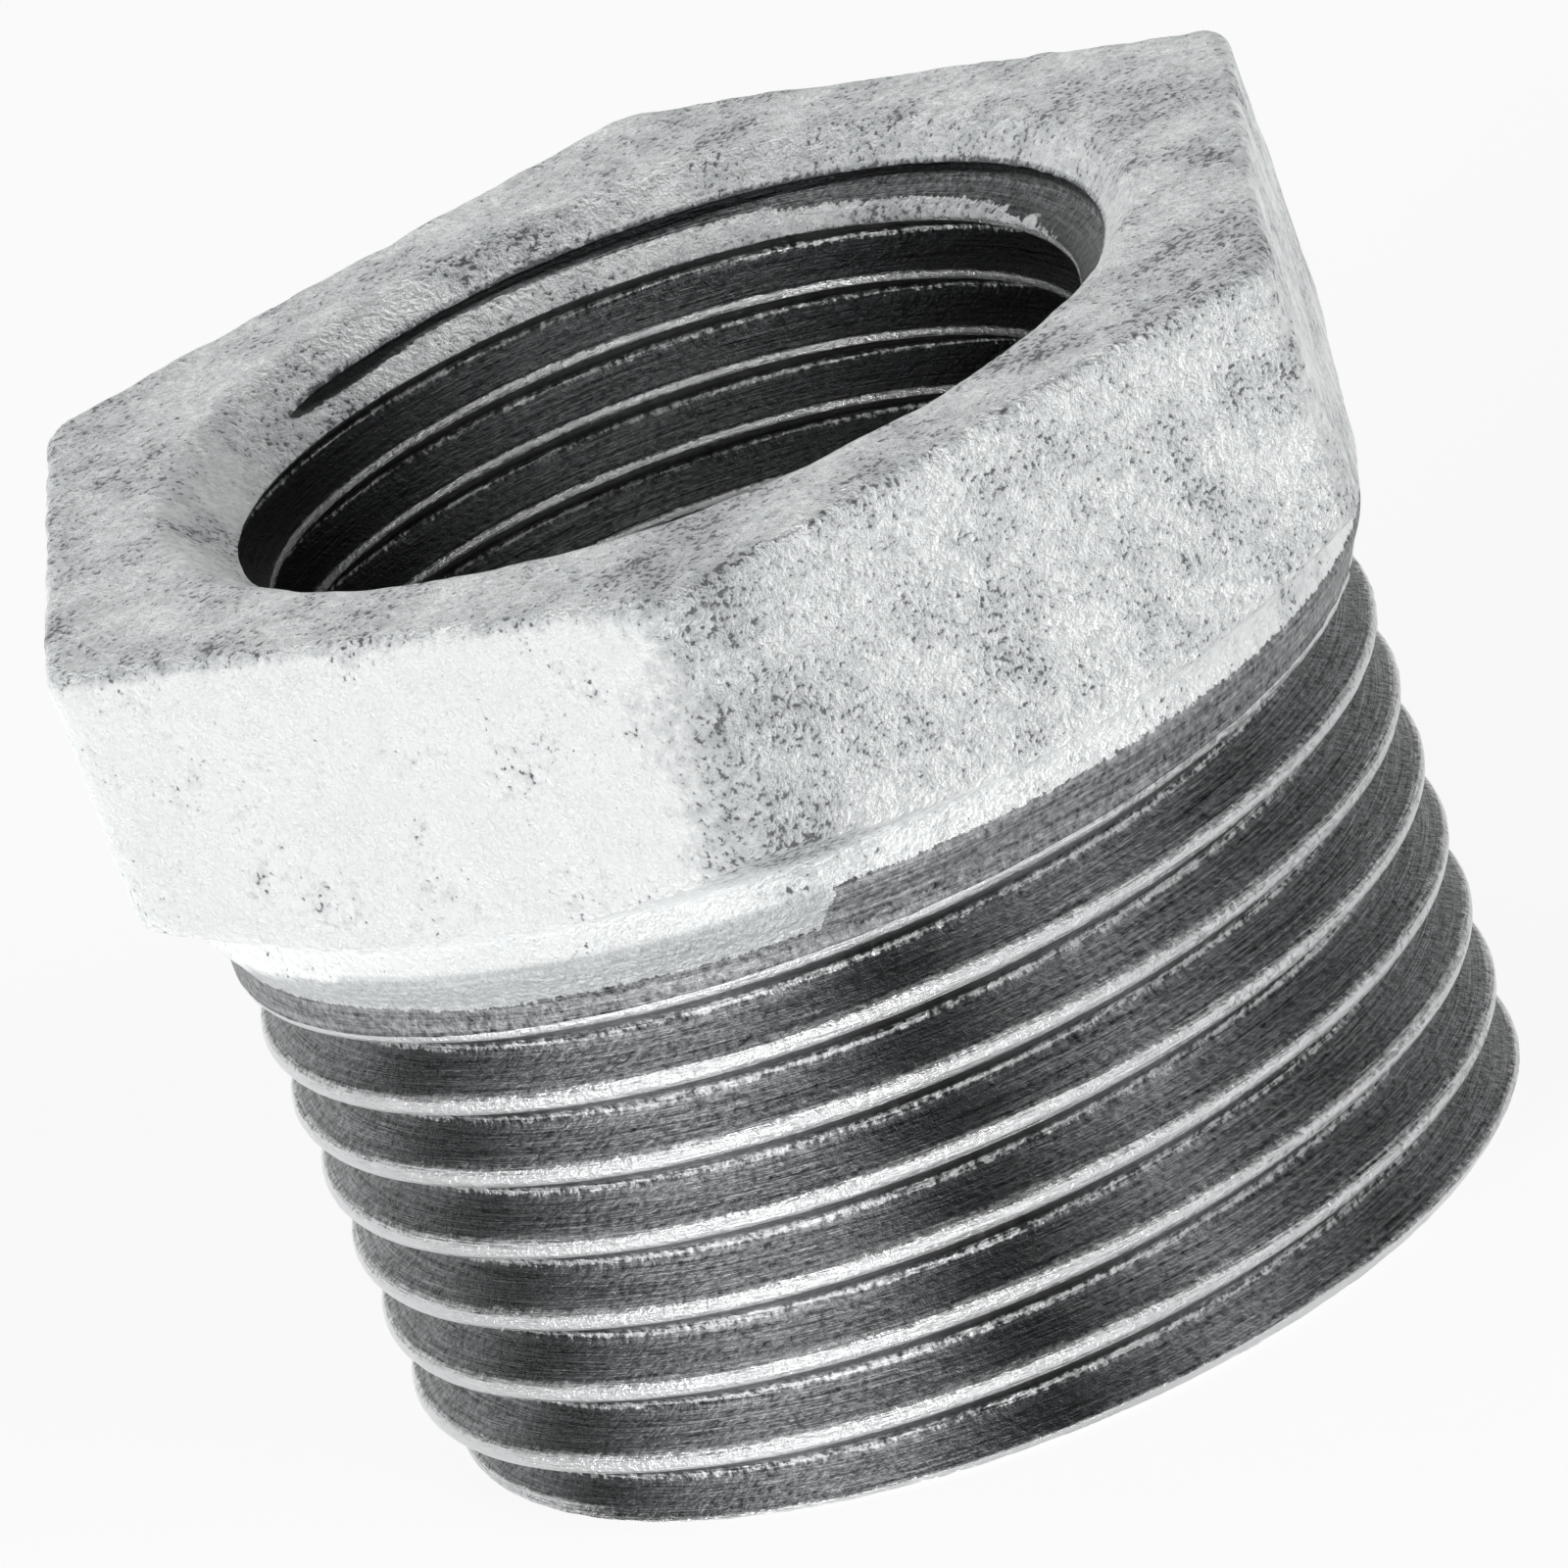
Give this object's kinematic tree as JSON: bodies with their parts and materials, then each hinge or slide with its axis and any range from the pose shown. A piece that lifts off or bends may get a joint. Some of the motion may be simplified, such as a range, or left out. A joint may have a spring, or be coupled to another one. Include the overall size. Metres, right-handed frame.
{
  "type": "hex bushing",
  "caption": "Hexagon reducing bush for pipe: a tapered outside thread below a hexagon head, and a smaller parallel inside thread through its axis.",
  "frame": {"origin": "centre of the outside thread's end face, on the bore axis", "axes": "+Z along the bore axis from the thread's end face to the hexagon head, +X through a corner of the hexagon"},
  "size_m": [0.0404, 0.0354, 0.0284],
  "materials": {
    "malleable_iron": "hot-dip galvanised cast surface, threads cut to bare machined iron"
  },
  "bodies": {
    "root": {"hex_bushing": "malleable_iron"}
  },
  "joints": []
}
